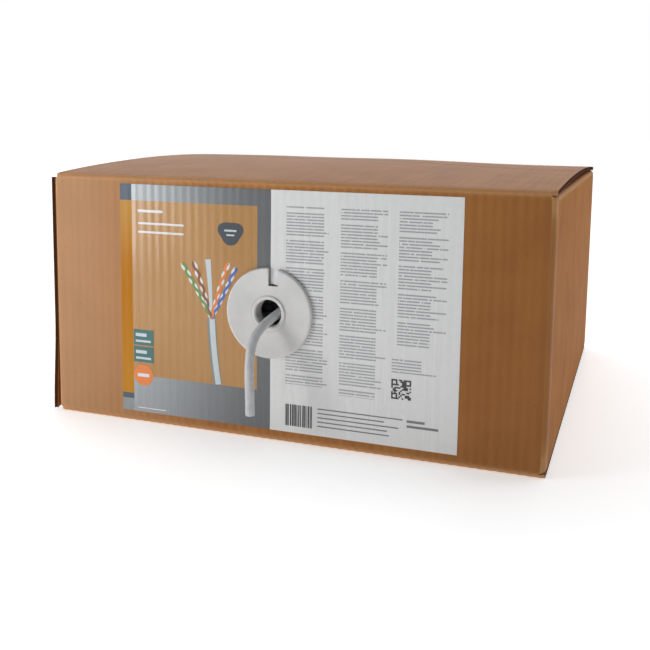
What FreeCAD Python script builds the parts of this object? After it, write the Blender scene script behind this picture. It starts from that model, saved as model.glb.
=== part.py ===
import FreeCAD, Part
import math
import os
import re
import Sketcher
from FreeCAD import Placement, Rotation, Vector

# A square corrugated pull box for network cable. A flanged reel stands inside on two hubs and turns
# about the vertical axis; its cable leaves through a white spout in the middle of the front panel.
# Frame: millimetres, +Z up, origin at the centre of the base. The front panel faces -Y.

doc = FreeCAD.newDocument("CableSpoolBox")
sheet = doc.addObject("Spreadsheet::Sheet", "Sizes")

SIZES = [
    # carton
    ("carton_width", 360.0, "outside, along X"),
    ("carton_depth", 360.0, "outside, along Y"),
    ("carton_height", 180.0, "outside, at the top creases"),
    ("board", 3.0, "B-flute corrugated board"),
    ("edge_radius", 2.9, "outside radius of a crease"),
    ("crease_gap", 0.3, "under the folded outer flaps"),
    ("seam_gap", 1.5, "between two flaps that meet"),
    ("flap_lift", 6.0, "how far the outer top flaps arch up at their seam"),
    ("side_gap", 0.5, "flap edge to the face of the wall beside it"),
    ("glue_tab_width", 35.0, "manufacturer's joint, at the front left corner"),
    ("joint_setback", 1.0, "the left panel's cut edge, behind the front face"),
    # label
    ("label_width", 248.0, ""),
    ("label_height", 166.0, ""),
    ("label_base", 8.0, "label's lower edge above the base"),
    ("label_thick", 0.3, ""),
    # cable spout and its lock ring
    ("spout_offset", -7.0, "spout axis from the middle of the front, along X"),
    ("spout_height", 90.0, "spout axis above the base"),
    ("carton_hole", 20.0, "radius of the hole in the front panel"),
    ("spout_radius", 31.3, ""),
    ("spout_rim", 3.0, "flange thickness at its rim"),
    ("spout_dish", 2.0, "flange thickness beside the lip"),
    ("spout_rim_round", 1.0, ""),
    ("spout_lip", 3.0, "height of the raised lip around the bore"),
    ("spout_lip_wall", 2.65, ""),
    ("spout_lip_round", 1.2, ""),
    ("spout_lip_step", 0.4, "width of the slope from the flange up to the lip"),
    ("spout_bore", 9.35, "radius of the cable bore"),
    ("spout_tube_wall", 2.0, ""),
    ("spout_depth", 7.0, "tube and skirt behind the flange"),
    ("spout_roof", 0.6, "how far the ring pocket reaches into the flange"),
    ("skirt_outer", 19.7, ""),
    ("skirt_wall", 2.0, ""),
    ("notch_width", 7.3, "slot that parks the cable end"),
    ("notch_offset", 3.35, "middle of the slot to the right of the axis"),
    ("notch_bottom", 18.9, "height of the slot's bottom above the axis"),
    ("lock_outer", 30.0, ""),
    ("lock_inner", 19.8, ""),
    ("lock_thick", 2.4, ""),
    ("lock_slot_width", 2.0, ""),
    ("lock_slot_depth", 4.0, ""),
    # pads, hubs and spindle
    ("pad_side", 346.0, ""),
    ("hub_disc_radius", 45.0, ""),
    ("hub_disc_thick", 3.0, ""),
    ("hub_spigot_radius", 25.0, ""),
    ("hub_spigot_length", 12.0, "beyond the disc"),
    ("hub_running_gap", 0.05, "radial, spigot in the flange bore"),
    ("hub_end_gap", 0.5, "disc to flange"),
    ("spindle_radius", 22.0, ""),
    ("spindle_wall", 3.0, ""),
    # reel
    ("flange_radius", 170.0, ""),
    ("flange_thick", 6.0, ""),
    ("core_radius", 60.0, ""),
    ("core_wall", 4.0, ""),
    ("winding_radius", 148.0, ""),
    ("bolt_radius", 2.5, "tie bolts that clamp the flanges on the core"),
    ("bolt_circle", 50.0, ""),
    ("bolt_head_radius", 4.5, ""),
    ("bolt_head_height", 2.0, ""),
    # cable
    ("cable_radius", 3.1, ""),
    ("wrap_gap", 0.6, "between the winding and the lead that follows it"),
    ("through", 1.0, "how far a cut starts and ends clear of what it cuts"),
]
for row, (alias, value, note) in enumerate(SIZES, start=1):
    sheet.set(f"A{row}", alias)
    sheet.set(f"B{row}", str(value))
    sheet.set(f"C{row}", note)
    sheet.setAlias(f"B{row}", alias)
doc.recompute()

ALIASES = {alias for alias, value, note in SIZES}
TIE_BOLTS = 4
LOCK_SLOTS = 8
NEAR = 0.01


# ---------------------------------------------------------------- helpers

def formula(text):
    """Turn 'board + side_gap' into the expression 'Sizes.board + Sizes.side_gap'."""
    return re.sub(r"[a-z_]+", lambda m: "Sizes." + m[0] if m[0] in ALIASES else m[0], str(text))


def size(text):
    """The value of a formula in millimetres."""
    return float(sheet.evalExpression(formula(text)))


def bind(obj, **formulas):
    """Bind properties of an object to formulas; x, y and z are its position."""
    for name, text in formulas.items():
        prop = f"Placement.Base.{name}" if name in ("x", "y", "z") else name
        obj.setExpression(prop, formula(text))


def slab(label, x, y, z):
    """A flat board between two corners, each given as a (low, high) pair of formulas."""
    board = doc.addObject("Part::Box", label)
    board.Label = label
    bind(board, Length=f"({x[1]}) - ({x[0]})", Width=f"({y[1]}) - ({y[0]})",
         Height=f"({z[1]}) - ({z[0]})", x=x[0], y=y[0], z=z[0])
    return board


def new_body(label, x="0", y="0", z="0", turn=None):
    """An empty PartDesign body at a place given by formulas."""
    body = doc.addObject("PartDesign::Body", label)
    body.Label = label
    if turn:
        body.Placement = Placement(Vector(), turn)
    bind(body, x=x, y=y, z=z)
    return body


def new_sketch(body, plane, offset=None):
    """A sketch on one of the body's own origin planes, moved along its normal by a formula."""
    sketch = body.newObject("Sketcher::SketchObject", body.Label + "_sketch")
    origin_plane = [f for f in body.Origin.OriginFeatures if f.Role == plane][0]
    sketch.AttachmentSupport = [(origin_plane, "")]
    sketch.MapMode = "FlatFace"
    if offset:
        sketch.setExpression("AttachmentOffset.Base.z", formula(offset))
    return sketch


def fix(sketch, kind, *reference, to):
    """Add a dimension to a sketch and bind it to a formula."""
    number = sketch.addConstraint(Sketcher.Constraint(kind, *reference, size(to)))
    sketch.setExpression(f"Constraints[{number}]", formula(to))


def outline(sketch, points, arcs=None):
    """A closed outline through points given as formula pairs. arcs maps a segment's number to its
    radius formula and to the side its centre lies on: 1 left of the direction of travel, -1 right."""
    arcs = arcs or {}
    where = [Vector(size(x), size(y), 0) for x, y in points]
    first = sketch.GeometryCount
    ends = []
    for i, start in enumerate(where):
        end = where[(i + 1) % len(where)]
        if i in arcs:
            radius = size(arcs[i][0])
            chord = end - start
            reach = math.sqrt(max(radius ** 2 - (chord.Length / 2) ** 2, 0.0))
            left = Vector(-chord.y, chord.x, 0).normalize()
            side = arcs[i][1]
            centre = (start + end) * 0.5 + left * (reach * side)
            middle = centre - left * (radius * side)
            arc = Part.Arc(start, middle, end)
            sketch.addGeometry(arc, False)
            ends.append((1, 2) if side > 0 else (2, 1))
        else:
            sketch.addGeometry(Part.LineSegment(start, end), False)
            ends.append((1, 2))
    count = len(where)
    for i in range(count):
        following = (i + 1) % count
        sketch.addConstraint(Sketcher.Constraint("Coincident", first + i, ends[i][1],
                                                 first + following, ends[following][0]))
    for i, (x, y) in enumerate(points):
        fix(sketch, "DistanceX", -1, 1, first + i, ends[i][0], to=x)
        fix(sketch, "DistanceY", -1, 1, first + i, ends[i][0], to=y)
    for i, (radius, side) in arcs.items():
        fix(sketch, "Radius", first + i, to=radius)


def rectangle(sketch, x, y):
    """A rectangle between (low, high) formula pairs."""
    outline(sketch, [(x[0], y[0]), (x[1], y[0]), (x[1], y[1]), (x[0], y[1])])


def circle(sketch, radius, x="0", y="0"):
    """A circle at a place given by formulas."""
    centre = Vector(size(x), size(y), 0)
    number = sketch.addGeometry(Part.Circle(centre, Vector(0, 0, 1), size(radius)), False)
    fix(sketch, "Radius", number, to=radius)
    fix(sketch, "DistanceX", -1, 1, number, 3, to=x)
    fix(sketch, "DistanceY", -1, 1, number, 3, to=y)


def pad(body, sketch, length, reverse=False, symmetric=False):
    feature = body.newObject("PartDesign::Pad", body.Label + "_pad")
    feature.Profile = sketch
    feature.Reversed = reverse
    if symmetric:
        feature.SideType = "Symmetric"
    bind(feature, Length=length)
    sketch.Visibility = False
    return feature


def pocket(body, sketch, length, reverse=False, symmetric=False):
    feature = body.newObject("PartDesign::Pocket", body.Label + "_pocket")
    feature.Profile = sketch
    feature.Reversed = reverse
    if symmetric:
        feature.SideType = "Symmetric"
    bind(feature, Length=length)
    return feature


def turned(body, sketch, kind="Revolution"):
    """A Revolution or Groove of an XZ sketch about the body's Z axis."""
    feature = body.newObject("PartDesign::" + kind, body.Label + "_" + kind.lower())
    feature.Profile = sketch
    feature.ReferenceAxis = (sketch, ["V_Axis"])
    feature.Angle = 360.0
    return feature


def round_edges(body, radius, wanted):
    """Fillet the edges of the body's last feature for which wanted(edge) is true."""
    doc.recompute()
    base = body.Tip
    names = [f"Edge{i}" for i, edge in enumerate(base.Shape.Edges, start=1) if wanted(edge)]
    fillet = body.newObject("PartDesign::Fillet", body.Label + "_fillet")
    fillet.Base = (base, names)
    bind(fillet, Radius=radius)


def ring(label, outer, inner, length, z):
    """A round plate or tube about the vertical axis, from height z upwards."""
    body = new_body(label, z=z)
    sketch = new_sketch(body, "XY_Plane")
    circle(sketch, outer)
    circle(sketch, inner)
    pad(body, sketch, length)
    return body


def middle_of(edge):
    return edge.valueAt((edge.FirstParameter + edge.LastParameter) / 2)


# ---------------------------------------------------------------- carton

half_width = "carton_width / 2"
half_depth = "carton_depth / 2"
inner_flap_bottom = ("board", "2 * board")
panel_top = "carton_height - board - crease_gap"
inner_flap_top = (f"{panel_top} - board", panel_top)
side_top = inner_flap_top[0]


def end_panel(label, turn, right_end, hole):
    """A front or back panel, whose upright creases round the corners of the box."""
    body = new_body(label, turn=Rotation(Vector(0, 0, 1), turn))
    sketch = new_sketch(body, "XZ_Plane", offset=f"{half_depth} - board")
    rectangle(sketch, (f"-{half_width}", right_end), ("board", panel_top))
    if hole:
        circle(sketch, "carton_hole", "spout_offset", "spout_height")
    pad(body, sketch, "board")
    face_y = -size(half_depth)
    corners_x = (-size(half_width), size(right_end))

    def outer_corner(edge):
        middle = middle_of(edge)
        at_corner = min(abs(middle.x - x) for x in corners_x) < NEAR
        return abs(middle.y - face_y) < NEAR and at_corner

    round_edges(body, "edge_radius", outer_corner)


# The front panel's crease at the left turns into the glue tab, and the left panel is glued on the
# outside of the tab, so that it stands one board further out and shows its cut edge at the front.
left_face = f"-({half_width} + board)"
end_panel("front_panel", 0, right_end=half_width, hole=True)
end_panel("back_panel", 180, right_end=f"{half_width} + board", hole=False)

side_z = (inner_flap_bottom[1], side_top)
inside_y = (f"board - {half_depth}", f"{half_depth} - board")
slab("right_panel", (f"{half_width} - board", half_width), inside_y, side_z)
slab("left_panel", (left_face, f"-{half_width}"), (f"joint_setback - {half_depth}", inside_y[1]), side_z)
slab("glue_tab", (f"-{half_width}", f"board - {half_width}"),
     (inside_y[0], f"{inside_y[0]} + glue_tab_width"), side_z)

for level, z in (("bottom", inner_flap_bottom), ("top", inner_flap_top)):
    flap_y = (f"{inside_y[0]} + side_gap", f"{inside_y[1]} - side_gap")
    slab(f"{level}_flap_left", (left_face, "-seam_gap / 2"), flap_y, z)
    slab(f"{level}_flap_right", ("seam_gap / 2", half_width), flap_y, z)

for label, turn in (("bottom_flap_front", 0), ("bottom_flap_back", 180)):
    flap = new_body(label, turn=Rotation(Vector(0, 0, 1), turn))
    profile = new_sketch(flap, "YZ_Plane")
    rectangle(profile, (f"-{half_depth}", "0"), ("0", "board"))
    pad(flap, profile, "carton_width - 2 * side_gap", symmetric=True)
    round_edges(flap, "edge_radius", lambda edge: abs(middle_of(edge).y + size(half_depth)) < NEAR
                and abs(middle_of(edge).z) < NEAR)

# An outer top flap is an arch: level at the seam, and low at its crease.
flap_reach = f"({half_depth} - seam_gap / 2)"
arch_radius = f"(({flap_reach} ^ 2 + flap_lift ^ 2) / (2 * flap_lift))"
arch_centre = f"(carton_height + flap_lift - {arch_radius})"
under_radius = f"({arch_radius} - board)"
under_crease = f"({arch_centre} + sqrt({under_radius} ^ 2 - {flap_reach} ^ 2))"
for label, turn in (("top_flap_front", 0), ("top_flap_back", 180)):
    flap = new_body(label, turn=Rotation(Vector(0, 0, 1), turn))
    profile = new_sketch(flap, "YZ_Plane")
    outline(profile,
            [(f"-{half_depth}", under_crease), ("-seam_gap / 2", "carton_height + flap_lift - board"),
             ("-seam_gap / 2", "carton_height + flap_lift"), (f"-{half_depth}", "carton_height")],
            arcs={0: (under_radius, -1), 2: (arch_radius, 1)})
    pad(flap, profile, "carton_width - 2 * side_gap", symmetric=True)
    round_edges(flap, "edge_radius", lambda edge: abs(middle_of(edge).y + size(half_depth)) < NEAR
                and abs(middle_of(edge).z - size("carton_height")) < NEAR)

label_sheet = new_body("front_label")
label_sketch = new_sketch(label_sheet, "XZ_Plane", offset=half_depth)
rectangle(label_sketch, ("-label_width / 2", "label_width / 2"),
          ("label_base", "label_base + label_height"))
circle(label_sketch, "carton_hole", "spout_offset", "spout_height")
pad(label_sheet, label_sketch, "label_thick")

# ---------------------------------------------------------------- cable spout

# The spout and its lock ring are drawn about their own Z axis, which points out of the front.
outwards = Rotation(Vector(1, 0, 0), 90)
label_face = f"-({half_depth} + label_thick)"

spout = new_body("cable_spout", x="spout_offset", y=label_face, z="spout_height", turn=outwards)
spout_profile = new_sketch(spout, "XZ_Plane")
lip_radius = "(spout_bore + spout_lip_wall)"
outline(spout_profile,
        [("spout_bore", "-spout_depth"),
         ("skirt_outer", "-spout_depth"),
         ("skirt_outer", "0"),
         ("spout_radius", "0"),
         ("spout_radius", "spout_rim - spout_rim_round"),
         ("spout_radius - spout_rim_round", "spout_rim"),
         (f"{lip_radius} + spout_lip_step", "spout_dish"),
         (lip_radius, "spout_lip"),
         ("spout_bore + spout_lip_round", "spout_lip"),
         ("spout_bore", "spout_lip - spout_lip_round")],
        arcs={4: ("spout_rim_round", 1), 8: ("spout_lip_round", 1)})
turned(spout, spout_profile)

ring_pocket = new_sketch(spout, "XZ_Plane")
rectangle(ring_pocket, ("spout_bore + spout_tube_wall", "skirt_outer - skirt_wall"),
          ("-spout_depth - through", "spout_roof"))
turned(spout, ring_pocket, "Groove")

slot = new_sketch(spout, "XY_Plane", offset="-spout_depth - through")
rectangle(slot, ("notch_offset - notch_width / 2", "notch_offset + notch_width / 2"),
          ("notch_bottom", "spout_radius + through"))
pocket(spout, slot, "spout_depth + spout_lip + 2 * through", reverse=True)

lock_ring = new_body("spout_lock_ring", x="spout_offset", y=f"{inside_y[0]} + lock_thick",
                     z="spout_height", turn=outwards)
lock_sketch = new_sketch(lock_ring, "XY_Plane")
circle(lock_sketch, "lock_outer")
circle(lock_sketch, "lock_inner")
pad(lock_ring, lock_sketch, "lock_thick")
lock_slot = new_sketch(lock_ring, "XY_Plane", offset="-through")
rectangle(lock_slot, ("lock_inner - through", "lock_inner + lock_slot_depth"),
          ("-lock_slot_width / 2", "lock_slot_width / 2"))
lock_pocket = pocket(lock_ring, lock_slot, "lock_thick + 2 * through", reverse=True)
lock_pattern = lock_ring.newObject("PartDesign::PolarPattern", "spout_lock_ring_slots")
lock_pattern.Originals = [lock_pocket]
lock_pattern.Axis = (lock_sketch, ["N_Axis"])
lock_pattern.Angle = 360
lock_pattern.Occurrences = LOCK_SLOTS
lock_ring.Tip = lock_pattern

# ---------------------------------------------------------------- pads, hubs and spindle

pad_x = ("-pad_side / 2", "pad_side / 2")
base_pad_z = ("2 * board", "3 * board")
top_pad_z = (f"{side_top} - board", side_top)
slab("base_pad", pad_x, pad_x, base_pad_z)
slab("top_pad", pad_x, pad_x, top_pad_z)


def hub(label, z, turn):
    """A disc with a hollow spigot that the reel's flange runs on, and that holds the spindle."""
    body = new_body(label, z=z, turn=Rotation(Vector(1, 0, 0), turn))
    profile = new_sketch(body, "XZ_Plane")
    outline(profile, [("0", "0"), ("hub_disc_radius", "0"), ("hub_disc_radius", "hub_disc_thick"),
                      ("hub_spigot_radius", "hub_disc_thick"),
                      ("hub_spigot_radius", "hub_disc_thick + hub_spigot_length"),
                      ("spindle_radius", "hub_disc_thick + hub_spigot_length"),
                      ("spindle_radius", "hub_disc_thick"), ("0", "hub_disc_thick")])
    turned(body, profile)


hub("hub_bottom", base_pad_z[1], 0)
hub("hub_top", top_pad_z[0], 180)
hub_bottom_face = f"({base_pad_z[1]} + hub_disc_thick)"
hub_top_face = f"({top_pad_z[0]} - hub_disc_thick)"
ring("spindle_tube", "spindle_radius", "spindle_radius - spindle_wall",
     f"{hub_top_face} - {hub_bottom_face}", hub_bottom_face)

# ---------------------------------------------------------------- reel

reel_bottom = f"({hub_bottom_face} + hub_end_gap)"
reel_top = f"({hub_top_face} - hub_end_gap)"
traverse = f"({reel_top} - {reel_bottom} - 2 * flange_thick)"
core_bottom = f"({reel_bottom} + flange_thick)"


def reel_flange(label, z):
    body = new_body(label, z=z)
    sketch = new_sketch(body, "XY_Plane")
    circle(sketch, "flange_radius")
    circle(sketch, "hub_spigot_radius + hub_running_gap")
    pad(body, sketch, "flange_thick")
    hole_sketch = new_sketch(body, "XY_Plane", offset="-through")
    circle(hole_sketch, "bolt_radius", "bolt_circle", "0")
    hole = pocket(body, hole_sketch, "flange_thick + 2 * through", reverse=True)
    pattern = body.newObject("PartDesign::PolarPattern", label + "_bolt_holes")
    pattern.Originals = [hole]
    pattern.Axis = (sketch, ["N_Axis"])
    pattern.Angle = 360
    pattern.Occurrences = TIE_BOLTS
    body.Tip = pattern


reel_flange("reel_flange_bottom", reel_bottom)
reel_flange("reel_flange_top", f"{reel_top} - flange_thick")
ring("reel_core", "core_radius", "core_radius - core_wall", traverse, core_bottom)
ring("cable_winding", "winding_radius", "core_radius", traverse, core_bottom)


def primitive(kind, label, place, low, high, **sizes):
    """A Part primitive standing between two heights at a place on the bolt circle."""
    piece = doc.addObject("Part::" + kind, label)
    bind(piece, Height=f"({high}) - ({low})", x=place[0], y=place[1], z=low, **sizes)
    return piece


def group(label, pieces):
    compound = doc.addObject("Part::Compound", label)
    compound.Links = pieces
    compound.Label = label


bolts = []
nuts = []
bolt_top = f"{reel_top} + bolt_head_height"
head_bottom = f"{reel_bottom} - bolt_head_height"
for number in range(TIE_BOLTS):
    angle = math.radians(360.0 * number / TIE_BOLTS)
    place = (f"bolt_circle * {round(math.cos(angle))}", f"bolt_circle * {round(math.sin(angle))}")
    shank = primitive("Cylinder", f"shank_{number}", place, reel_bottom, bolt_top, Radius="bolt_radius")
    head = primitive("Cylinder", f"head_{number}", place, head_bottom, reel_bottom,
                     Radius="bolt_head_radius")
    bolt = doc.addObject("Part::Fuse", f"bolt_{number}")
    bolt.Base = shank
    bolt.Tool = head
    bolts.append(bolt)
    blank = primitive("Prism", f"nut_blank_{number}", place, reel_top, bolt_top,
                      Circumradius="bolt_head_radius")
    blank.Polygon = 6
    hole = primitive("Cylinder", f"nut_hole_{number}", place, reel_top, bolt_top, Radius="bolt_radius")
    nut = doc.addObject("Part::Cut", f"nut_{number}")
    nut.Base = blank
    nut.Tool = hole
    nuts.append(nut)
group("tie_bolts", bolts)
group("tie_nuts", nuts)

# ---------------------------------------------------------------- cable

# The lead follows the winding, leaves it on a tangent and goes out through the spout. The tail
# carries on from the spout's mouth, bends over and hangs in front of the panel, cut off square.
WRAP_RADIUS = size("winding_radius + cable_radius + wrap_gap")
WRAP_STEP = 10.0
WRAP_START = -31.0
WRAP_CORNERS = 4
WRAP_HEIGHT = 98.0
WRAP_DROP = 0.4
ARC_SHARE = 0.45


def around(angle, reach, z):
    return Vector(reach * math.cos(math.radians(angle)), reach * math.sin(math.radians(angle)), z)


wrap = [around(WRAP_START, WRAP_RADIUS, WRAP_HEIGHT)]
corner_reach = WRAP_RADIUS / math.cos(math.radians(WRAP_STEP / 2))
for corner in range(WRAP_CORNERS):
    angle = WRAP_START - WRAP_STEP * (corner + 0.5)
    wrap.append(around(angle, corner_reach, WRAP_HEIGHT - WRAP_DROP * corner))

SPOUT_EXIT = Vector(-5.2, -183.3, 86.2)
LEAD_ROUTE = wrap + [Vector(35.5, -148.9, 95.6), Vector(9.1, -157.2, 94.3),
                     Vector(-0.95, -168.05, 91.7), SPOUT_EXIT]
TAIL_ROUTE = [SPOUT_EXIT, Vector(-8.6, -195.5, 81.8), Vector(-9.5, -205.4, 71.8),
              Vector(-8.2, -210.9, 58.2), Vector(-7.2, -211.8, 43.4), Vector(-7.3, -210.9, 28.1)]


def cord_path(label, route):
    """Straight runs joined by tangent arcs, each taking the same share of its shorter run."""
    edges = []
    here = route[0]
    for before, corner, after in zip(route, route[1:], route[2:]):
        back = before - corner
        ahead = after - corner
        turn = math.pi - back.getAngle(ahead)
        shorter = min(back.Length, ahead.Length)
        reach = ARC_SHARE * shorter
        radius = reach / math.tan(turn / 2)
        back.normalize()
        ahead.normalize()
        start = corner + back * reach
        end = corner + ahead * reach
        inwards = (back + ahead).normalize()
        middle = corner + inwards * (math.hypot(radius, reach) - radius)
        edges.append(Part.LineSegment(here, start).toShape())
        edges.append(Part.Arc(start, middle, end).toShape())
        here = end
        print(f"{label}: turn {math.degrees(turn):.1f} degrees, radius {radius:.1f} mm")
    edges.append(Part.LineSegment(here, route[-1]).toShape())
    return Part.Wire(edges)


def cord(label, route):
    path = cord_path(label, route)
    radius = size("cable_radius")
    section = Part.Wire(Part.Circle(route[0], route[1] - route[0], radius).toShape())
    tube = path.makePipeShell([section], True, False)
    expected = math.pi * radius ** 2 * path.Length
    print(f"{label}: length {path.Length:.1f} mm, volume {tube.Volume:.0f} of {expected:.0f} mm3")
    feature = doc.addObject("Part::Feature", label)
    feature.Shape = tube
    feature.Placement = Placement()
    feature.Label = label


cord("cable_lead", LEAD_ROUTE)
cord("cable_tail", TAIL_ROUTE)

# ---------------------------------------------------------------- check and write

doc.recompute()

NODES = [
    "front_panel", "back_panel", "left_panel", "right_panel", "glue_tab",
    "top_flap_front", "top_flap_back", "top_flap_left", "top_flap_right",
    "bottom_flap_front", "bottom_flap_back", "bottom_flap_left", "bottom_flap_right",
    "front_label", "cable_spout", "spout_lock_ring",
    "base_pad", "top_pad", "hub_bottom", "hub_top", "spindle_tube",
    "reel_flange_bottom", "reel_flange_top", "reel_core", "cable_winding", "tie_bolts", "tie_nuts",
    "cable_lead", "cable_tail",
]

failed = [obj.Label for obj in doc.Objects if {"Invalid", "Error"} & set(obj.State)]
for label in NODES:
    shape = doc.getObjectsByLabel(label)[0].Shape
    if shape.isNull() or not shape.isValid() or shape.Volume <= 0:
        failed.append(label)
if failed:
    raise RuntimeError("failed objects: " + ", ".join(failed))

os.makedirs("parts", exist_ok=True)
for label in NODES:
    shape = doc.getObjectsByLabel(label)[0].Shape
    shape.exportStep(f"parts/{label}.step")
    box = shape.BoundBox
    print(f"{label}: {len(shape.Solids)} solid, volume {shape.Volume:.0f} mm3, "
          f"x {box.XMin:.1f} {box.XMax:.1f}, y {box.YMin:.1f} {box.YMax:.1f}, z {box.ZMin:.1f} {box.ZMax:.1f}")
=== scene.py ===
import bmesh
import bpy
import math
from mathutils import Matrix, Vector, noise


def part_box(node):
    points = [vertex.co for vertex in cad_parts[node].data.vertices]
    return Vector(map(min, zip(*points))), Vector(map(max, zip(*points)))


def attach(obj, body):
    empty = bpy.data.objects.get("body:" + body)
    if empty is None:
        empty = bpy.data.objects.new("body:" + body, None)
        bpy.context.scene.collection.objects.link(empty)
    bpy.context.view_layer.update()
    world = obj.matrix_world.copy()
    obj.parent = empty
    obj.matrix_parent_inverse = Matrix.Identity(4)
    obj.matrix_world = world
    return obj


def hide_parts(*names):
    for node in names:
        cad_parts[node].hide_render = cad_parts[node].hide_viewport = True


# A square corrugated pull box for network cable, with its printed label, cable spout and cable.
# Metres, +Z up, the front panel faces -Y. Walls, flaps and pads are real corrugated board: an outer
# liner, a waved medium and an inner liner, creased where the box folds.

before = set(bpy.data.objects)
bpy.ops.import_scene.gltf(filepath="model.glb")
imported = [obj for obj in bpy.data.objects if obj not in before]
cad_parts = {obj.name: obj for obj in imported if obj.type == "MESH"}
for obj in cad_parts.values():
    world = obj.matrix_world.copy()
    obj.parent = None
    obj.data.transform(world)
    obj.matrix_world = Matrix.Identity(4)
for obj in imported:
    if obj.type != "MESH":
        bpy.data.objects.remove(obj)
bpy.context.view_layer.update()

MM = 0.001
UP = Vector((0.0, 0.0, 1.0))

# ---------------- sizes, from the frame

front_low, front_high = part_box("front_panel")
left_low, left_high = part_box("left_panel")
tab_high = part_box("glue_tab")[1]
label_low, label_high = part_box("front_label")
spout_low, spout_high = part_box("cable_spout")
flap_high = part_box("top_flap_front")[1]
winding_low, winding_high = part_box("cable_winding")

HALF = front_high.x
FRONT = front_low.y
BOARD = front_high.y - front_low.y
JOINT_FACE = left_low.x
TAB_END = tab_high.y
INNER_TOP = front_high.z
SIDE_TOP = left_high.z
SEAM = -flap_high.y
FLAP_SIDE = flap_high.x
CREASE_GAP = 0.3 * MM
TOP = INNER_TOP + CREASE_GAP + BOARD

SPOUT_RADIUS = (spout_high.x - spout_low.x) / 2
SPOUT_X = (spout_high.x + spout_low.x) / 2
SPOUT_Z = spout_low.z + SPOUT_RADIUS
SPOUT_BACK = label_low.y
HOLE_RADIUS = 20 * MM

# ---------------- camera

CAMERA_PLACE = (0.22844, -0.72067, 0.21769)
CAMERA_YAW = 19.951
CAMERA_PITCH = 7.091
CAMERA_ROLL = 0.7325
CAMERA_LENS = 48.838
CAMERA_SHIFT = -0.14


def new_object(name, data):
    made = bpy.data.objects.new(name, data)
    bpy.context.scene.collection.objects.link(made)
    return made


def aim_camera():
    yaw, pitch, roll = (math.radians(angle) for angle in (CAMERA_YAW, CAMERA_PITCH, CAMERA_ROLL))
    forward = Vector((-math.sin(yaw) * math.cos(pitch), math.cos(yaw) * math.cos(pitch), -math.sin(pitch)))
    right = Vector((math.cos(yaw), math.sin(yaw), 0.0))
    up = right.cross(forward)
    across = right * math.cos(roll) + up * math.sin(roll)
    upright = up * math.cos(roll) - right * math.sin(roll)
    data = bpy.data.cameras.new("camera")
    data.lens = CAMERA_LENS
    data.sensor_width = 36.0
    data.shift_y = CAMERA_SHIFT
    data.clip_start = 0.01
    camera = new_object("camera", data)
    camera.matrix_world = Matrix.Translation(CAMERA_PLACE) @ Matrix(
        (across, upright, -forward)).transposed().to_4x4()
    bpy.context.scene.camera = camera


aim_camera()

# ---------------- material helpers


class Nodes:
    """Short ways to build a node tree."""

    def __init__(self, tree):
        self.tree = tree

    def node(self, kind, inputs=(), **settings):
        node = self.tree.nodes.new("ShaderNode" + kind)
        for key, value in settings.items():
            setattr(node, key, value)
        for key, value in dict(inputs).items():
            self.feed(node.inputs[key], value)
        return node

    def feed(self, socket, value):
        if isinstance(value, bpy.types.NodeSocket):
            self.tree.links.new(value, socket)
        else:
            socket.default_value = value

    def math(self, operation, first, second=0.0):
        return self.node("Math", {0: first, 1: second}, operation=operation).outputs[0]

    def product(self, *values):
        result = values[0]
        for value in values[1:]:
            result = self.math("MULTIPLY", result, value)
        return result

    def total(self, *values):
        result = values[0]
        for value in values[1:]:
            result = self.math("ADD", result, value)
        return result

    def mix(self, factor, first, second):
        node = self.node("Mix", data_type="RGBA")
        self.feed(node.inputs[0], factor)
        self.feed(node.inputs[6], first)
        self.feed(node.inputs[7], second)
        return node.outputs[2]

    def ramp(self, value, low, high, low_out=0.0, high_out=1.0, smooth=True):
        inputs = {0: value, 1: low, 2: high, 3: low_out, 4: high_out}
        kind = "SMOOTHSTEP" if smooth else "LINEAR"
        return self.node("MapRange", inputs, interpolation_type=kind).outputs[0]

    def past(self, value, place, before=0.0, after=1.0, edge=0.2 * MM):
        """One value before a place and another after it, with a soft edge."""
        return self.ramp(value, place - edge, place + edge, before, after)

    def band(self, value, low, high, edge=0.2 * MM):
        """1 between low and high, 0 outside, with a soft edge."""
        return self.product(self.past(value, low, edge=edge), self.past(value, high, 1.0, 0.0, edge))

    def noise(self, vector, scale, detail=2.0, roughness=0.5):
        inputs = {"Vector": vector, "Scale": scale, "Detail": detail, "Roughness": roughness}
        return self.node("TexNoise", inputs).outputs["Fac"]

    def scaled(self, vector, scale):
        node = self.node("VectorMath", operation="MULTIPLY")
        self.feed(node.inputs[0], vector)
        self.feed(node.inputs[1], scale)
        return node.outputs[0]

    def parts(self, vector):
        return self.node("SeparateXYZ", {0: vector}).outputs


class Shader(Nodes):
    """One material, from its principled surface."""

    def __init__(self, name, **constants):
        self.material = bpy.data.materials.new(name)
        self.material.use_nodes = True
        super().__init__(self.material.node_tree)
        self.surface = self.tree.nodes["Principled BSDF"]
        for key, value in constants.items():
            self.surface.inputs[key.replace("_", " ")].default_value = value

    def place(self):
        """The piece's own coordinates in metres."""
        return self.node("TexCoord").outputs["Object"]

    def attribute(self, name):
        return self.node("Attribute", attribute_name=name).outputs["Vector"]

    def finish(self, colour=None, roughness=None, height=None, depth=0.0001):
        if colour is not None:
            self.feed(self.surface.inputs["Base Color"], colour)
        if roughness is not None:
            self.feed(self.surface.inputs["Roughness"], roughness)
        if height is not None:
            bump = self.node("Bump", {"Height": height, "Distance": depth, "Strength": 1.0})
            self.feed(self.surface.inputs["Normal"], bump.outputs[0])
        return self.material


def tone(red, green, blue):
    """A colour given in 0 to 255 display values, as the linear colour that shaders take."""
    linear = []
    for value in (red, green, blue):
        share = value / 255
        linear.append(share / 12.92 if share <= 0.04045 else ((share + 0.055) / 1.055) ** 2.4)
    return (*linear, 1.0)


# ---------------- materials

FLUTE = 6.3 * MM


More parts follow.
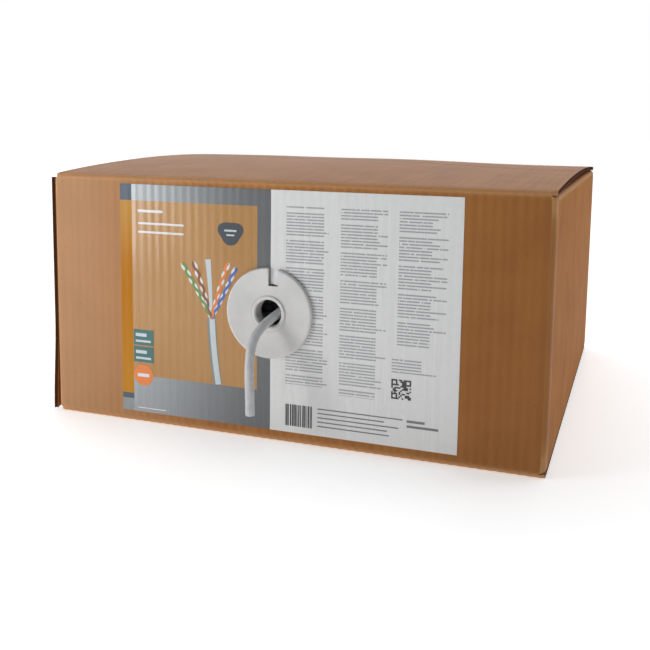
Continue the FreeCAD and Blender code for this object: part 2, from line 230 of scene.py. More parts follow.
def kraft_board():
    """Brown paper liner: streaks along the flutes, fibres across them, a painted highlight along its creases
    and rounded corners, painted light towards the left of the front panel and painted shade towards its
    right end."""
    shader = Shader("kraft_liner")
    vector = shader.attribute("board")
    across, _, crease = shader.parts(vector)
    flutes = shader.math("SINE", shader.product(across, 2 * math.pi / FLUTE))
    streaks = shader.noise(shader.scaled(vector, (1.0, 0.05, 0.0)), 150.0, 3.0)
    mottle = shader.noise(shader.scaled(vector, (1.0, 1.0, 0.0)), 28.0, 4.0)
    fibres = shader.noise(shader.scaled(vector, (0.35, 1.0, 0.0)), 1900.0, 4.0, 0.65)
    specks = shader.ramp(shader.noise(shader.scaled(vector, (0.5, 1.0, 0.0)), 700.0, 1.0), 0.71, 0.78)
    shade = shader.total(shader.product(streaks, 0.24), shader.product(mottle, 0.32),
                         shader.product(fibres, 0.44), shader.product(flutes, 0.025))
    shade = shader.ramp(shade, 0.34, 0.66, smooth=False)
    colour = shader.mix(shade, tone(148, 93, 45), tone(181, 121, 64))
    # Painted shade: the front panel is made darker towards its right end, where the light falls off.
    painted_shade_right = shader.ramp(across, sleeve_place(0.17), sleeve_place(0.05), 1.0, 0.0)
    painted_shade_right = shader.product(painted_shade_right, shader.math("GREATER_THAN", across, sleeve_place(0.182)))
    # Painted light: the front panel is made paler towards its left end, nearest the key light.
    painted_light_left = shader.ramp(across, sleeve_place(-0.04), sleeve_place(-0.17))
    colour = shader.mix(shader.product(painted_shade_right, 0.4), colour, tone(132, 82, 34))
    colour = shader.mix(shader.product(painted_light_left, 0.55), colour, tone(186, 149, 114))
    # Painted highlight: the liner is made paler along its creases and rounded corners, where light catches
    # the fold.
    painted_crease_highlight = shader.math("POWER", crease, 7.0)
    colour = shader.mix(shader.product(painted_crease_highlight, 0.55), colour, tone(206, 158, 112))
    colour = shader.mix(shader.product(specks, 0.35), colour, tone(92, 56, 28))
    roughness = shader.ramp(fibres, 0.3, 0.7, 0.52, 0.66)
    height = shader.total(shader.product(fibres, 0.5), shader.product(streaks, 0.6),
                          shader.product(flutes, 0.12))
    matt = shader.band(across, sleeve_place(HALF) - 0.35, sleeve_place(HALF) - 0.006, 2 * MM)
    shader.feed(shader.surface.inputs["Specular IOR Level"], shader.ramp(matt, 0.0, 1.0, 0.2, 0.02))
    return shader.finish(colour, roughness, height, 0.09 * MM)


def raw_edge():
    """The medium and the cut edges: darker, rough, with torn fibres."""
    shader = Shader("kraft_edge", Specular_IOR_Level=0.15)
    vector = shader.place()
    fibres = shader.noise(vector, 1500.0, 3.0, 0.6)
    tint = shader.noise(vector, 130.0, 2.0)
    colour = shader.mix(fibres, tone(70, 42, 26), tone(122, 80, 48))
    colour = shader.mix(shader.product(tint, 0.5), colour, tone(52, 30, 20))
    return shader.finish(colour, shader.ramp(fibres, 0.3, 0.7, 0.85, 0.97), fibres, 0.15 * MM)


def plastic(name, base, shade, roughness, subsurface=0.0):
    """Moulded plastic: a fine grain, slow flow marks and a few scuffs."""
    shader = Shader(name, Specular_IOR_Level=0.5, Subsurface_Weight=subsurface, Subsurface_Scale=2 * MM)
    vector = shader.place()
    flow = shader.noise(vector, 60.0, 3.0)
    grain = shader.noise(vector, 2600.0, 2.0, 0.6)
    scuffs = shader.noise(shader.scaled(vector, (1.0, 1.0, 0.15)), 420.0, 4.0, 0.7)
    colour = shader.mix(shader.ramp(flow, 0.3, 0.75), base, shade)
    gloss = shader.math("ADD", shader.ramp(flow, 0.3, 0.7, roughness - 0.05, roughness + 0.05),
                        shader.ramp(scuffs, 0.55, 0.75, 0.0, 0.12))
    height = shader.math("ADD", shader.product(grain, 0.6), shader.product(scuffs, 0.4))
    return shader.finish(colour, gloss, height, 0.02 * MM)


def ink(name, base):
    """Printed ink: an even colour with the faint mottle of the paper under it."""
    shader = Shader(name, Coat_Weight=0.5, Coat_Roughness=0.18)
    vector = shader.place()
    speck = shader.noise(vector, 900.0, 2.0)
    darker = tuple(0.86 * value for value in base[:3]) + (1.0,)
    return shader.finish(shader.mix(speck, darker, base), shader.ramp(speck, 0.3, 0.7, 0.42, 0.55),
                         speck, 0.01 * MM)


def steel():
    shader = Shader("zinc_steel", Metallic=1.0)
    vector = shader.place()
    spangle = shader.noise(vector, 350.0, 2.0)
    scratches = shader.noise(shader.scaled(vector, (1.0, 1.0, 0.06)), 2400.0, 2.0)
    colour = shader.mix(spangle, tone(168, 172, 176), tone(204, 205, 203))
    return shader.finish(colour, shader.ramp(scratches, 0.3, 0.7, 0.28, 0.46), scratches, 0.01 * MM)


def fibreboard():
    """Hardboard reel flange: brown, with pressed fibres and a slight polish."""
    shader = Shader("flange_board", Specular_IOR_Level=0.4)
    vector = shader.place()
    fibres = shader.noise(shader.scaled(vector, (1.0, 1.0, 3.0)), 520.0, 5.0, 0.7)
    blotches = shader.noise(vector, 30.0, 3.0)
    colour = shader.mix(fibres, tone(84, 55, 33), tone(134, 94, 58))
    colour = shader.mix(shader.product(blotches, 0.4), colour, tone(70, 46, 30))
    return shader.finish(colour, shader.ramp(fibres, 0.3, 0.7, 0.42, 0.62), fibres, 0.08 * MM)


def spiral_tube():
    """Wound cardboard tube: a spiral butt line and the grain of the outer ply."""
    shader = Shader("tube_board", Specular_IOR_Level=0.25)
    vector = shader.place()
    x, y, z = shader.parts(vector)
    angle = shader.math("ARCTAN2", y, x)
    turns = shader.math("ADD", shader.product(angle, 1 / (2 * math.pi)), shader.product(z, 1 / 0.09))
    line = shader.band(shader.math("FRACT", turns), 0.48, 0.5, 0.006)
    grain = shader.noise(vector, 900.0, 3.0, 0.6)
    colour = shader.mix(grain, tone(150, 124, 92), tone(184, 158, 122))
    colour = shader.mix(shader.product(line, 0.7), colour, tone(96, 74, 52))
    height = shader.math("SUBTRACT", shader.product(grain, 0.3), line)
    return shader.finish(colour, 0.8, height, 0.1 * MM)


def jacket():
    """Grey cable jacket: soft extruded plastic with a dry bloom."""
    shader = Shader("cable_jacket", Specular_IOR_Level=0.5, Subsurface_Weight=0.04, Subsurface_Scale=1 * MM)
    vector = shader.place()
    bloom = shader.noise(vector, 260.0, 4.0, 0.6)
    grain = shader.noise(vector, 3200.0, 2.0)
    colour = shader.mix(shader.ramp(bloom, 0.3, 0.72), tone(192, 193, 195), tone(206, 207, 207))
    return shader.finish(colour, shader.ramp(bloom, 0.3, 0.7, 0.34, 0.5), grain, 0.015 * MM)


def label_print():
    """The label: a glossy grey and tan left half with an amber strip, a white half of small print."""
    shader = Shader("label_print")
    vector = shader.place()
    x, _, z = shader.parts(vector)
    edge_x = label_low.x
    strip_end = edge_x + 9.4 * MM
    middle = -6.5 * MM
    grey_side = middle - 10 * MM
    band_low, band_high = 35 * MM, 162.4 * MM

    paper = shader.mix(shader.noise(vector, 240.0, 3.0), tone(222, 222, 222), tone(230, 230, 229))
    print_grey = shader.mix(shader.ramp(x, edge_x, middle), tone(160, 166, 170), tone(98, 101, 103))
    tan_soft = shader.noise(vector, 16.0, 2.0)
    tan = shader.mix(tan_soft, tone(170, 122, 62), tone(190, 140, 78))
    picture = shader.product(shader.band(z, band_low, band_high), shader.past(x, grey_side, 1.0, 0.0))
    left = shader.mix(picture, print_grey, tan)

    amber = shader.mix(shader.ramp(z, 0.0, 105 * MM), tone(196, 136, 44), tone(182, 116, 14))
    amber = shader.mix(shader.ramp(z, 112 * MM, band_high), amber, tone(190, 138, 60))
    strip = shader.mix(shader.band(z, band_low - 14 * MM, band_high), tone(92, 104, 116), amber)
    lower_strip = shader.band(z, 0.0, 17 * MM)
    strip = shader.mix(lower_strip, strip, tone(150, 156, 158))
    left = shader.mix(shader.past(x, strip_end, 1.0, 0.0), left, strip)

    lines = 0.0
    pitch = 2.05 * MM
    row = shader.math("FLOOR", shader.product(z, 1 / pitch))
    stroke = shader.band(shader.math("FRACT", shader.product(z, 1 / pitch)), 0.25, 0.7, 0.12)
    for start, end, low, high, seed in ((4.7, 34.7, 42.0, 164.0, 1.0), (43.2, 75.0, 38.0, 164.0, 2.0),
                                        (82.6, 114.5, 75.0, 164.0, 3.0), (79.5, 109.0, 58.0, 69.0, 4.0)):
        row_place = shader.product(row, 17.3)
        where = shader.node("CombineXYZ", {0: shader.product(x, 640.0), 1: row_place, 2: seed})
        words = shader.ramp(shader.noise(where.outputs[0], 1.0, 1.0), 0.31, 0.39)
        ragged = shader.node("CombineXYZ", {0: seed * 31.0, 1: shader.product(row, 5.7), 2: seed})
        reach = shader.ramp(shader.noise(ragged.outputs[0], 1.0, 0.0), 0.3, 0.62, start, end, False)
        reach = shader.math("MAXIMUM", reach, 0.91 * end)
        inside = shader.math("LESS_THAN", x, shader.product(reach, MM))
        inside = shader.product(inside, shader.math("GREATER_THAN", x, start * MM))
        block = shader.product(inside, shader.band(z, low * MM, high * MM), words)
        gap = shader.math("FRACT", shader.product(shader.math("ADD", row, seed * 3.0), 1 / 9.0))
        block = shader.product(block, shader.math("GREATER_THAN", gap, 0.09))
        lines = shader.math("MAXIMUM", lines, block)
    lines = shader.product(lines, stroke)
    right = shader.mix(shader.product(lines, 0.8), paper, tone(138, 139, 144))

    colour = shader.mix(shader.past(x, middle), left, right)
    gloss = shader.past(x, strip_end, 0.12, 0.62)
    shader.feed(shader.surface.inputs["Specular IOR Level"], gloss)
    flutes = shader.math("SINE", shader.product(x, 2 * math.pi / FLUTE))
    streaks = shader.noise(shader.scaled(vector, (1.0, 0.0, 0.03)), 170.0, 3.0)
    height = shader.math("ADD", shader.product(flutes, 0.18), streaks)
    return shader.finish(colour, shader.ramp(streaks, 0.3, 0.7, 0.2, 0.3), height, 0.12 * MM)


def floor_paint():
    shader = Shader("floor_sweep", Specular_IOR_Level=0.08, Emission_Color=(1.0, 1.0, 1.0, 1.0),
                    Emission_Strength=0.42)
    vector = shader.place()
    tint = shader.noise(vector, 3.0, 2.0)
    colour = shader.mix(tint, (0.93, 0.93, 0.93, 1.0), (0.95, 0.95, 0.95, 1.0))
    return shader.finish(colour, shader.ramp(tint, 0.3, 0.7, 0.42, 0.5))


EDGE = raw_edge()
LABEL = label_print()
WHITE_PLASTIC = plastic("spout_plastic", tone(217, 216, 214), tone(207, 206, 205), 0.36, 0.12)
HUB_PLASTIC = plastic("hub_plastic", tone(36, 37, 40), tone(46, 47, 50), 0.5)
JACKET = jacket()
STEEL = steel()
FLANGE = fibreboard()
TUBE = spiral_tube()

# ---------------- mesh helpers


def slab(bm, columns, rows, outer, inner, marks=None, material=0, edge_material=None):
    """A closed sheet between two surfaces, each a function of a column and a row."""
    layer = bm.verts.layers.float_vector.get("board") or bm.verts.layers.float_vector.new("board")
    grids = []
    for surface in (outer, inner):
        grid = []
        for column in columns:
            line = []
            for row in rows:
                vertex = bm.verts.new(surface(column, row))
                if marks:
                    vertex[layer] = marks(column, row)
                line.append(vertex)
            grid.append(line)
        grids.append(grid)
    last_column = len(columns) - 1
    last_row = len(rows) - 1
    edge_material = material if edge_material is None else edge_material

    def face(corners, index):
        bm.faces.new(corners).material_index = index

    for grid in grids:
        for i in range(last_column):
            for j in range(last_row):
                face((grid[i][j], grid[i + 1][j], grid[i + 1][j + 1], grid[i][j + 1]), material)
    top, under = grids
    for i in range(last_column):
        for j in (0, last_row):
            face((top[i][j], top[i + 1][j], under[i + 1][j], under[i][j]), edge_material)
    for j in range(last_row):
        for i in (0, last_column):
            face((top[i][j], top[i][j + 1], under[i][j + 1], under[i][j]), edge_material)


def join_rings(bm, rings, material=0):
    """Faces between rings of vertices that follow one another round a full turn."""
    count = len(rings[0])
    for here, following in zip(rings, rings[1:] + rings[:1]):
        for j in range(count):
            after = (j + 1) % count
            corners = (here[j], here[after], following[after], following[j])
            bm.faces.new(corners).material_index = material


def revolve(bm, profile, segments, centre, axis, material=0):
    """A closed profile of (radius, height) pairs turned about an axis."""
    turn = axis.to_track_quat("Z", "Y").to_matrix()
    rings = []
    for k in range(segments):
        angle = 2 * math.pi * k / segments
        rings.append([bm.verts.new(centre + turn @ Vector((r * math.cos(angle), r * math.sin(angle), h)))
                      for r, h in profile])
    join_rings(bm, rings, material)


def mesh_from(name, bm):
    mesh = bpy.data.meshes.new(name)
    bm.to_mesh(mesh)
    bm.free()
    return mesh


def add_piece(name, bm, materials, body="carton", replaces=(), sharp=38.0):
    """Turns a mesh under construction into a piece that rides on a body."""
    bmesh.ops.recalc_face_normals(bm, faces=bm.faces[:])
    mesh = mesh_from(name, bm)
    for material in materials:
        mesh.materials.append(material)
    piece = new_object(name, mesh)
    mesh.shade_smooth()
    mesh.set_sharp_from_angle(angle=math.radians(sharp))
    settle(piece, body, replaces)
    return piece


def settle(piece, body, replaces=()):
    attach(piece, body)
    if replaces:
        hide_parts(*replaces)


def cut(piece, *cutters):
    """Takes closed cutters away from a piece and deletes them."""
    for cutter in cutters:
        tool = piece.modifiers.new("cut", "BOOLEAN")
        tool.operation = "DIFFERENCE"
        tool.solver = "EXACT"
        tool.object = cutter
    graph = bpy.context.evaluated_depsgraph_get()
    made = bpy.data.meshes.new_from_object(piece.evaluated_get(graph))
    piece.modifiers.clear()
    piece.data = made
    for cutter in cutters:
        bpy.data.objects.remove(cutter)


def cutter_from(bm):
    bmesh.ops.recalc_face_normals(bm, faces=bm.faces[:])
    return new_object("cutter", mesh_from("cutter", bm))


def spout_hole():
    """A cutter for the round hole in the front that the spout sits in."""
    hole = bmesh.new()
    bmesh.ops.create_cone(hole, cap_ends=True, segments=96, radius1=HOLE_RADIUS, radius2=HOLE_RADIUS,
                          depth=4 * BOARD, matrix=Matrix.Translation((SPOUT_X, FRONT, SPOUT_Z))
                          @ Matrix.Rotation(math.pi / 2, 4, "X"))
    return cutter_from(hole)


def steps(low, high, step):
    """Evenly spaced places from low to high, no further apart than step."""
    count = max(1, math.ceil((high - low) / step - 1e-6))
    return [low + (high - low) * k / count for k in range(count + 1)]


def smooth(value):
    """0 below 0, 1 above 1, and an even curve between."""
    share = min(1.0, max(0.0, value))
    return share * share * (3 - 2 * share)


# ---------------- corrugated board

LINER = 0.32 * MM
MEDIUM = 0.26 * MM
LINER_STEP = FLUTE / 5
MEDIUM_STEP = FLUTE / 8
FLAT_STEP = 14 * MM
WASHBOARD = 0.045 * MM
SCORED_WASHBOARD = 0.34 * MM
CREASE_REACH = 6 * MM


def relief(across, crease):
    """How deep the outer liner lies between two flutes: deeper near a scored crease."""
    depth = WASHBOARD + (SCORED_WASHBOARD - WASHBOARD) * crease
    return depth * (0.5 - 0.5 * math.cos(2 * math.pi * across / FLUTE))


def closeness(distance):
    """1 on a crease, fading to 0 away from it."""
    return math.exp(-abs(distance) / CREASE_REACH)


def corrugated(bm, columns, rows, at, across, crease, medium_rows=None):
    """Two liners and a waved medium. columns(step) lists the places across the flutes, at(column, row,
    depth) is a point that far under the outer face, across(column) is where it is in the flutes."""

    def marks(column, row):
        return (across(column), row_place(row), crease(column, row))

    def row_place(row):
        point = at(fine[0], row, 0.0)
        return (point - at(fine[0], rows[0], 0.0)).length

    def outer(column, row, depth):
        return at(column, row, depth + relief(across(column), crease(column, row)))

    def wave(column):
        room = BOARD - 2 * LINER - MEDIUM - 0.06 * MM
        return BOARD / 2 - room / 2 * math.cos(2 * math.pi * across(column) / FLUTE)

    fine = columns(LINER_STEP)
    flat = columns(FLAT_STEP)
    waved = columns(MEDIUM_STEP)
    slab(bm, fine, rows, lambda c, r: outer(c, r, 0.0), lambda c, r: outer(c, r, LINER), marks, 0, 1)
    slab(bm, flat, rows, lambda c, r: at(c, r, BOARD - LINER), lambda c, r: at(c, r, BOARD), marks, 0, 1)
    slab(bm, waved, medium_rows or rows,
         lambda c, r: at(c, r, wave(c) - MEDIUM / 2 + relief(across(c), crease(c, r)) * 0.5),
         lambda c, r: at(c, r, wave(c) + MEDIUM / 2), marks, 1, 1)


def hollow(across, height, wall):
    """Slow hollows of a wall between its creases, inwards only."""
    turn = 2 * math.pi
    wave = (math.sin(turn * (across / 0.21 + 0.31 * wall)) * math.cos(turn * (height / 0.27 + 0.17 * wall))
            + 0.6 * math.sin(turn * (across / 0.093 + height / 0.24 + 0.4 * wall)))
    return 0.15 * MM * (1.6 + wave)


# ---------------- carton walls

CORNER = 4.5 * MM
TAB_CORNER = 2.2 * MM
ROLL = 2.9 * MM
JOINT_SETBACK = left_low.y - FRONT
SIDE_RANGE = (2 * BOARD - 0.1 * MM, SIDE_TOP + 0.1 * MM)
FACE_RANGE = (ROLL, TOP - ROLL)
WALL_RANGES = {"left": SIDE_RANGE, "back": FACE_RANGE, "right": SIDE_RANGE, "front": FACE_RANGE,
               "tab": (2 * BOARD + 0.5 * MM, SIDE_TOP - 0.5 * MM)}
WALL_NUMBERS = {"left": 1, "back": 2, "right": 3, "front": 4, "tab": 5}


SPOUT_FLAT = 34 * MM
SPOUT_FADE = 40 * MM
CREASE_FADE = 30 * MM


def spout_calm(x, z):
    """0 beside the spout, where the wall is held flat, and 1 further away."""
    return smooth((math.hypot(x - SPOUT_X, z - SPOUT_Z) - SPOUT_FLAT) / SPOUT_FADE)


def wall_calm(across, z):
    """0 along a wall's creases and 1 in its field."""
    inset = min(HALF - abs(across), z, TOP - z)
    return smooth(inset / CREASE_FADE)


def front_sink(x, z):
    """How far the front panel's face lies behind its flat plane."""
    return hollow(x, z, WALL_NUMBERS["front"]) * wall_calm(x, z) * spout_calm(x, z)


class Station:
    """A place on the sleeve's outline: its point and outward direction in plan, and its wall."""

    def __init__(self, s, point, outward, wall, following=None, share=0.0):
        self.s = s
        self.point = point
        self.outward = outward
        self.wall = wall
        low, high = WALL_RANGES[wall]
        if following:
            low += (WALL_RANGES[following][0] - low) * share
            high += (WALL_RANGES[following][1] - high) * share
        if wall == "left" and point.y < FRONT + BOARD + 0.5 * MM:
            low = 1.0 * MM
            high = INNER_TOP
        self.low = low
        self.high = high
        self.corner = min(share, 1 - share) if following else None
        self.pinch = 1 - 0.45 * math.sin(math.pi * share)
        self.across = point.y if wall in ("left", "right", "tab") else point.x


def sleeve_stations(step):
    """The outline from the left panel's free edge round to the glue tab, as stations."""
    corners = [Vector((JOINT_FACE, -FRONT)), Vector((HALF, -FRONT)), Vector((HALF, FRONT)),
               Vector((-HALF, FRONT))]
    walls = ["left", "back", "right", "front", "tab"]
    here = Vector((JOINT_FACE, FRONT + JOINT_SETBACK))
    end = Vector((-HALF, TAB_END))
    stations = []
    travelled = 0.0
    for number, wall in enumerate(walls):
        target = corners[number] if number < len(corners) else end
        heading = (target - here).normalized()
        outward = Vector((-heading.y, heading.x))
        radius = TAB_CORNER if number == len(corners) - 1 else CORNER
        stop = target - heading * radius if number < len(corners) else target
        length = (stop - here).length
        for along in steps(0.0, length, step)[:-1]:
            stations.append(Station(travelled + along, here + heading * along, outward, wall))
        travelled += length
        if number == len(corners):
            stations.append(Station(travelled, stop, outward, wall))
            break
        centre = stop - outward * radius
        arc = steps(0.0, math.pi / 2, min(step, 1.2 * MM) / radius)[:-1]
        for angle in arc:
            turned = outward * math.cos(angle) + heading * math.sin(angle)
            stations.append(Station(travelled + angle * radius, centre + turned * radius, turned, wall,
                                    walls[number + 1], angle / (math.pi / 2)))
        travelled += radius * math.pi / 2
        here = centre + heading * radius
    return stations


SIDE_BOW = 0.9 * MM
FREE_EDGE_FLARE = 2.6 * MM
FLARE_HEIGHT = 70 * MM
FLARE_START = 140 * MM
FLARE_WIDTH = 40 * MM


def side_bow(station, z):
    """How far a side panel stands outside its plane: it bows, and the joint's free edge flares."""
    if station.corner is not None or station.wall in ("front", "back", "tab"):
        return 0.0
    bow = SIDE_BOW * (1 - (station.across / HALF) ** 2) * math.sin(math.pi * z / TOP)
    if station.wall == "left":
        free = smooth((-station.across - FLARE_START) / FLARE_WIDTH)
        bow += FREE_EDGE_FLARE * free * smooth((FLARE_HEIGHT - z) / FLARE_HEIGHT)
    return bow


def sleeve_point(station, row, depth):
    z = station.low + row * (station.high - station.low)
    sink = 0.0
    if station.corner is None and station.wall != "tab":
        number = WALL_NUMBERS[station.wall]
        calm = wall_calm(station.across, z)
        sink = hollow(station.across, z, number) * calm
        if station.wall == "front":
            sink = front_sink(station.across, z)
    place = station.point + station.outward * (side_bow(station, z) - sink - depth * station.pinch)
    return Vector((place.x, place.y, z))


def sleeve_crease(station, row):
    z_from_end = min(row, 1 - row) * (station.high - station.low)
    # The crease mark deepens the washboard and sets the kraft's painted crease highlight; the rounded
    # corners get it in full.
    return min(1.0, closeness(z_from_end) + (0.8 if station.corner is not None else 0.0))


def build_sleeve():
    """The four walls and the glue tab: one sheet of board, creased at the corners of the box."""
    near = [0.0, 0.008, 0.018, 0.03, 0.05, 0.08]
    rows = near + [0.08 + 0.84 * k / 15 for k in range(1, 15)] + [1 - share for share in reversed(near)]
    bm = bmesh.new()
    corrugated(bm, sleeve_stations, rows, sleeve_point, lambda station: station.s, sleeve_crease,
               rows[::3] + rows[-1:])
    sleeve = add_piece("carton_sleeve", bm, [KRAFT, EDGE],
                       replaces=["front_panel", "back_panel", "left_panel", "right_panel", "glue_tab"])
    cut(sleeve, spout_hole())


# ---------------- creases and flaps

SIDES = {"front": (Vector((0, -1, 0)), Vector((1, 0, 0))), "back": (Vector((0, 1, 0)), Vector((-1, 0, 0))),
         "right": (Vector((1, 0, 0)), Vector((0, 1, 0))), "left": (Vector((-1, 0, 0)), Vector((0, -1, 0)))}
QUARTER = math.pi / 2
TURN_ROWS = [k / 8 for k in range(8)]


def corner_drop(across, half):
    """How far a crease's end draws in to follow the rounded corner of the box."""
    over = abs(across) - (half - CORNER)
    if over <= 0:
        return 0.0
    return CORNER - math.sqrt(max(CORNER ** 2 - over ** 2, 0.0))


def fixed_flap(name, side, wall, level, flat_end, direction, replaces, half):
    """A flap that stays shut: it turns off its wall at a crease and runs flat to the middle.
    Rows 0 to 1 go round the crease, rows 1 to 2 along the flat."""
    outward, sideways = SIDES[side]
    centre_out = wall - ROLL
    centre_z = level - direction * ROLL

    def at(across, row, depth):
        turn = min(row, 1.0) * QUARTER
        squeeze = 1 - 0.5 * math.sin(math.pi * min(row, 1.0)) if row < 1 else 1.0
        draw = corner_drop(across, half) * math.cos(turn) if row < 1 else 0.0
        reach = ROLL - depth * squeeze
        out = centre_out + reach * math.cos(turn) - draw
        z = centre_z + direction * reach * math.sin(turn)
        if row > 1:
            out = centre_out - (row - 1) * (centre_out - flat_end)
            sag = 0.25 * MM * math.sin(math.pi * (row - 1)) * math.sin(across * 31 + wall * 40)
            z -= direction * (0.25 * MM - sag) * math.sin(math.pi * (row - 1))
        return outward * out + sideways * across + UP * z

    def crease(across, row):
        flat = max(row - 1, 0.0) * (centre_out - flat_end)
        return closeness(flat)

    rows = TURN_ROWS + [1.0, 1.01, 1.025, 1.05, 1.1, 1.2, 1.35, 1.5, 1.65, 1.8, 1.92, 2.0]
    bm = bmesh.new()
    corrugated(bm, lambda step: steps(-half, half, step), rows, at, lambda across: across, crease)
    add_piece(name, bm, [KRAFT, EDGE], replaces=replaces)


LIFT_LEFT = 8.2 * MM
LIFT_FALL = 4.2 * MM
LIFT_WAVE = 0.25 * MM


def lift(x):
    """How high the outer top flaps stand at their seam: less at the right, with a slight wave."""
    return LIFT_LEFT - LIFT_FALL * smooth((x + 0.02) / 0.19) + LIFT_WAVE * math.sin(x * 38)


FLAP_CREASE = FRONT + ROLL
FLAP_REACH = -FLAP_CREASE - SEAM


def outer_flap(side):
    """An outer top flap: an arch from its crease up to the seam, on its own hinge.
    Rows 0 to 1 go round its folded edge under the crease, rows 1 to 2 along the arch."""
    outward, sideways = SIDES[side]
    tucked = ROLL - 0.42 * MM

    def at(across, row, depth):
        x = across * sideways.x
        turn = min(row, 1.0) * QUARTER
        squeeze = 1 - 0.5 * math.sin(math.pi * min(row, 1.0))
        if row <= 1:
            reach = tucked - depth * (squeeze if row < 1 else 1.0)
            out = -FLAP_CREASE + reach * math.cos(turn) - corner_drop(across, HALF) * math.cos(turn)
            z = TOP - ROLL + reach * math.sin(turn)
        else:
            share = row - 1
            rise = smooth(share * FLAP_REACH / (1.6 * MM)) * (ROLL - tucked)
            slope = lift(x) * 2 * (1 - share) / FLAP_REACH
            face = TOP - (ROLL - tucked) + rise + lift(x) * (2 * share - share * share)
            out = -FLAP_CREASE - share * FLAP_REACH - depth * slope
            z = face - depth
        return outward * out + sideways * across + UP * z

    def crease(across, row):
        return closeness(max(row - 1, 0.0) * FLAP_REACH)

    rows = TURN_ROWS + [1.0, 1.003, 1.006, 1.01, 1.02, 1.04, 1.07, 1.12, 1.2, 1.3, 1.4, 1.5, 1.6, 1.7,
                        1.8, 1.88, 1.95, 2.0]
    bm = bmesh.new()
    corrugated(bm, lambda step: steps(-FLAP_SIDE, FLAP_SIDE, step), rows, at, lambda across: across, crease)
    add_piece(f"outer_flap_{side}", bm, [KRAFT, EDGE], body=f"flap_{side}",
              replaces=[f"top_flap_{side}"])


def top_crease(side):
    """The scored crease that joins a wall to its outer top flap: a thin rolled liner."""
    outward, sideways = SIDES[side]
    shell = 0.3 * MM

    def at(across, row, depth):
        turn = row * math.radians(86)
        reach = ROLL - depth
        out = -FLAP_CREASE + reach * math.cos(turn) - corner_drop(across, HALF) * math.cos(turn)
        return outward * out + sideways * across + UP * (TOP - ROLL + reach * math.sin(turn))

    def face(across, row):
        return at(across, row, relief(across, 0.75))

    columns = steps(-FLAP_SIDE, FLAP_SIDE, LINER_STEP)
    bm = bmesh.new()
    # The crease mark of 1 gives this roll the kraft's full painted crease highlight.
    slab(bm, columns, [k / 10 for k in range(11)], face,
         lambda across, row: at(across, row, shell + relief(across, 0.75)),
         lambda across, row: (across, row * 4 * MM, 1.0), 0, 1)
    add_piece(f"top_crease_{side}", bm, [KRAFT, EDGE])


def pad_sheet(name):
    """A loose corrugated sheet, cut square, whose flutes run along Y."""
    low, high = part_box(name)
    half = high.x
    rows = steps(-half, half, 60 * MM)
    bm = bmesh.new()
    corrugated(bm, lambda step: steps(-half, half, step), rows,
               lambda across, row, depth: Vector((across, row, high.z - depth)), lambda across: across,
               lambda across, row: 0.0)
    add_piece(name + "_sheet", bm, [KRAFT, EDGE], replaces=[name])


def sleeve_place(x):
    """How far round the sleeve a place on the front panel is, so that the label follows its flutes."""
    return front_start + (front_station_x - x)


front_stations = [station for station in sleeve_stations(FLAT_STEP)
                  if station.wall == "front" and station.corner is None]
front_start = front_stations[0].s
front_station_x = front_stations[0].point.x
KRAFT = kraft_board()

build_sleeve()
for side in ("front", "back"):
    outer_flap(side)
    top_crease(side)
    fixed_flap(f"outer_bottom_flap_{side}", side, HALF, 0.0, 0.2 * MM, -1, [f"bottom_flap_{side}"],
               FLAP_SIDE)
for side, wall in (("left", -JOINT_FACE), ("right", HALF)):
    inner_half = HALF - BOARD - 0.5 * MM
    fixed_flap(f"inner_top_flap_{side}", side, wall, INNER_TOP, SEAM, 1, [f"top_flap_{side}"],
               inner_half)
    fixed_flap(f"inner_bottom_flap_{side}", side, wall, BOARD, SEAM, -1, [f"bottom_flap_{side}"],
               inner_half)
pad_sheet("base_pad")
pad_sheet("top_pad")

# ---------------- label

PAPER = 0.12 * MM
PAPER_GAP = 0.05 * MM


def label_face(x, z, proud=0.0):
    """A point on the label's printed face, or that far in front of it."""
    sink = front_sink(x, z) + relief(sleeve_place(x), 0.0) * 0.9
    return Vector((x, FRONT + sink - PAPER_GAP - PAPER - proud, z))


def build_label():
    columns = steps(label_low.x, label_high.x, LINER_STEP)
    rows = steps(label_low.z, label_high.z, 5 * MM)
    bm = bmesh.new()
    slab(bm, columns, rows, lambda x, z: label_face(x, z), lambda x, z: label_face(x, z, -PAPER))
    label = add_piece("printed_label", bm, [LABEL], replaces=["front_label"])
    cut(label, spout_hole())


build_label()

INKS = {name: ink("ink_" + name, tone(*values)) for name, values in {
    "white": (232, 233, 234), "slate": (46, 56, 66), "teal": (30, 104, 102), "orange": (236, 128, 44),
    "green": (96, 150, 70), "brown": (140, 78, 44), "blue": (70, 104, 190), "pale": (206, 216, 220),
    "cable_light": (206, 214, 216), "cable_dark": (126, 138, 140), "black": (44, 45, 48),
    "grey": (120, 122, 126)}.items()}
INK_ORDER = list(INKS)
INK_RISE = 0.09 * MM


def patch(bm, outline, colour, level=0):
    """A flat printed shape: a closed thin sheet over the label, from an outline of (x, z) in mm."""
    index = INK_ORDER.index(colour)
    proud = INK_RISE + level * 0.05 * MM
    front = [bm.verts.new(label_face(x * MM, z * MM, proud)) for x, z in outline]
    back = [bm.verts.new(label_face(x * MM, z * MM, proud - 0.04 * MM)) for x, z in outline]
    bm.faces.new(front).material_index = index
    bm.faces.new(back[::-1]).material_index = index
    for k in range(len(outline)):
        after = (k + 1) % len(outline)
        bm.faces.new((front[k], back[k], back[after], front[after])).material_index = index


def bar(bm, x, z, width, height, colour, level=0):
    """A printed rectangle from its lower left corner, in pieces short enough to follow the flutes."""
    columns = steps(x, x + width, 2.1)
    for low, high in zip(columns, columns[1:]):
        patch(bm, [(low, z), (high, z), (high, z + height), (low, z + height)], colour, level)


